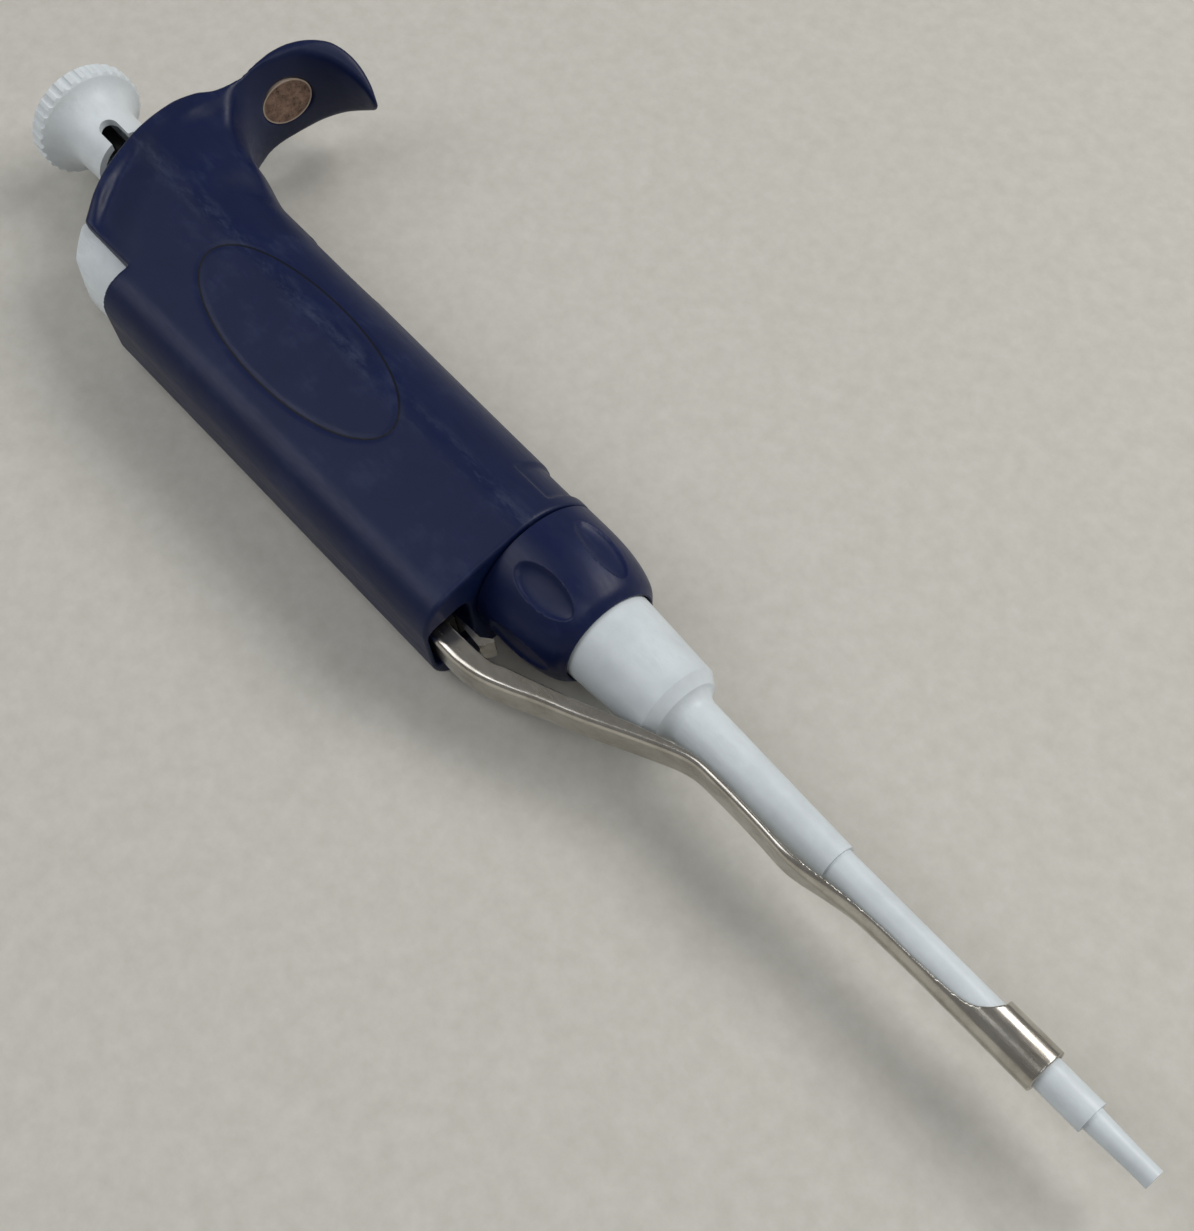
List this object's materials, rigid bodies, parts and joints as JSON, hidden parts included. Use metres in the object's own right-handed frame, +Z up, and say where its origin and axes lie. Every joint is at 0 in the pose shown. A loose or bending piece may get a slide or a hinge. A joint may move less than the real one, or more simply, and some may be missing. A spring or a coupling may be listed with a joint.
{
  "type": "adjustable micropipette",
  "caption": "Handheld single-channel adjustable-volume micropipette with thumb plunger, finger hook, tip ejector arm and stepped white liquid end, lying on its flat side.",
  "frame": {"origin": "on the main axis at the open end of the nozzle", "axes": "+X up the main axis to the thumb knob, +Z up from the bench it lies on, ejector side towards +Y, finger hook towards -Y and tilted up by the handle's side flat"},
  "size_m": [0.2379, 0.0606, 0.0244],
  "materials": {
    "handle_plastic": "moulded navy plastic, satin",
    "nut_plastic": "moulded navy plastic, satin",
    "white_plastic": "moulded white plastic",
    "shaft_plastic": "moulded off-white plastic",
    "disc_metal": "tarnished bronze-coloured steel",
    "lens": "clear window",
    "black_plastic": "black moulded plastic",
    "steel": "turned steel",
    "spring_steel": "drawn spring wire",
    "brass_part": "turned brass",
    "wheel_plastic": "white counter wheel",
    "seal_rubber": "black rubber",
    "seal_plastic": "white low-friction seal plastic",
    "nickel": "polished nickel plate"
  },
  "bodies": {
    "handle": {"handle_body": "handle_plastic", "hanger_disc": "disc_metal", "volume_window": "lens", "stroke_nut": "brass_part", "friction_ring": "seal_rubber", "friction_washer": "steel", "top_bearing": "black_plastic", "blowout_spring": "spring_steel", "spring_retainer": "black_plastic", "threaded_spigot": "black_plastic", "liquid_end": "shaft_plastic", "piston_seal": "seal_plastic", "seal_ring": "seal_rubber", "seal_retainer": "brass_part", "ejector_bush": "black_plastic", "ejector_spring": "spring_steel"},
    "volume_drive": {"drive_sleeve": "black_plastic"},
    "stroke_stop": {"stroke_screw": "brass_part"},
    "plunger": {"plunger_knob": "white_plastic", "knob_cap": "white_plastic", "plunger_rod": "black_plastic", "stop_collar": "steel", "plunger_spring_seat": "steel", "piston": "steel", "piston_head": "black_plastic", "plunger_spring": "spring_steel", "piston_spring": "spring_steel"},
    "blowout": {"blowout_washer": "steel"},
    "units": {"units_wheel": "wheel_plastic"},
    "tens": {"tens_wheel": "wheel_plastic"},
    "hundreds": {"hundreds_wheel": "wheel_plastic"},
    "coupling": {"coupling_nut": "nut_plastic"},
    "ejector": {"ejector_button": "white_plastic", "ejector_rod": "steel", "ejector_rod_washer": "steel", "arm_socket": "black_plastic", "ejector_arm": "nickel", "arm_clip": "nickel"}
  },
  "joints": [
    {"name": "volume_screw", "type": "slide", "parent": "volume_drive", "child": "stroke_stop", "axis": [1, 0, 0], "range_m": [-0.006, 0.005]},
    {"name": "volume_turn", "type": "hinge", "parent": "handle", "child": "volume_drive", "pos_m": [0.15, 0, 0], "axis": [1, 0, 0], "range_deg": [-1964.6, 1637.4]},
    {"name": "plunger_press", "type": "slide", "parent": "stroke_stop", "child": "plunger", "axis": [-1, 0, 0], "range_m": [0, 0.0085], "stiffness_N_per_m": 300, "springref_m": -0.006, "deforming": ["plunger_spring", "piston_spring"]},
    {"name": "blowout_move", "type": "slide", "parent": "handle", "child": "blowout", "axis": [-1, 0, 0], "range_m": [0, 0.00251], "deforming": ["blowout_spring"]},
    {"name": "units_turn", "type": "hinge", "parent": "handle", "child": "units", "pos_m": [0.15, 0, 0], "axis": [1, 0, 0], "range_deg": [-1964.6, 1637.4]},
    {"name": "tens_turn", "type": "hinge", "parent": "handle", "child": "tens", "pos_m": [0.15, 0, 0], "axis": [1, 0, 0], "range_deg": [-197.4, 164.6]},
    {"name": "hundreds_turn", "type": "hinge", "parent": "handle", "child": "hundreds", "pos_m": [0.15, 0, 0], "axis": [1, 0, 0], "range_deg": [-20.6, 17.4]},
    {"name": "coupling_turn", "type": "hinge", "parent": "handle", "child": "coupling", "pos_m": [0.15, 0, 0], "axis": [1, 0, 0], "range_deg": [-1080, 0]},
    {"name": "ejector_press", "type": "slide", "parent": "handle", "child": "ejector", "axis": [-1, 0, 0], "range_m": [0, 0.008], "stiffness_N_per_m": 400, "springref_m": -0.004, "deforming": ["ejector_spring"]}
  ],
  "couplings": [
    {"joint": "volume_turn", "follows": "volume_screw", "rad_per_m": 5712},
    {"joint": "units_turn", "follows": "volume_screw", "rad_per_m": 5712},
    {"joint": "tens_turn", "follows": "volume_screw", "rad_per_m": 571.2},
    {"joint": "hundreds_turn", "follows": "volume_screw", "rad_per_m": 57.12},
    {"joint": "blowout_move", "follows": "plunger_press", "ratio": 0.29412}
  ]
}
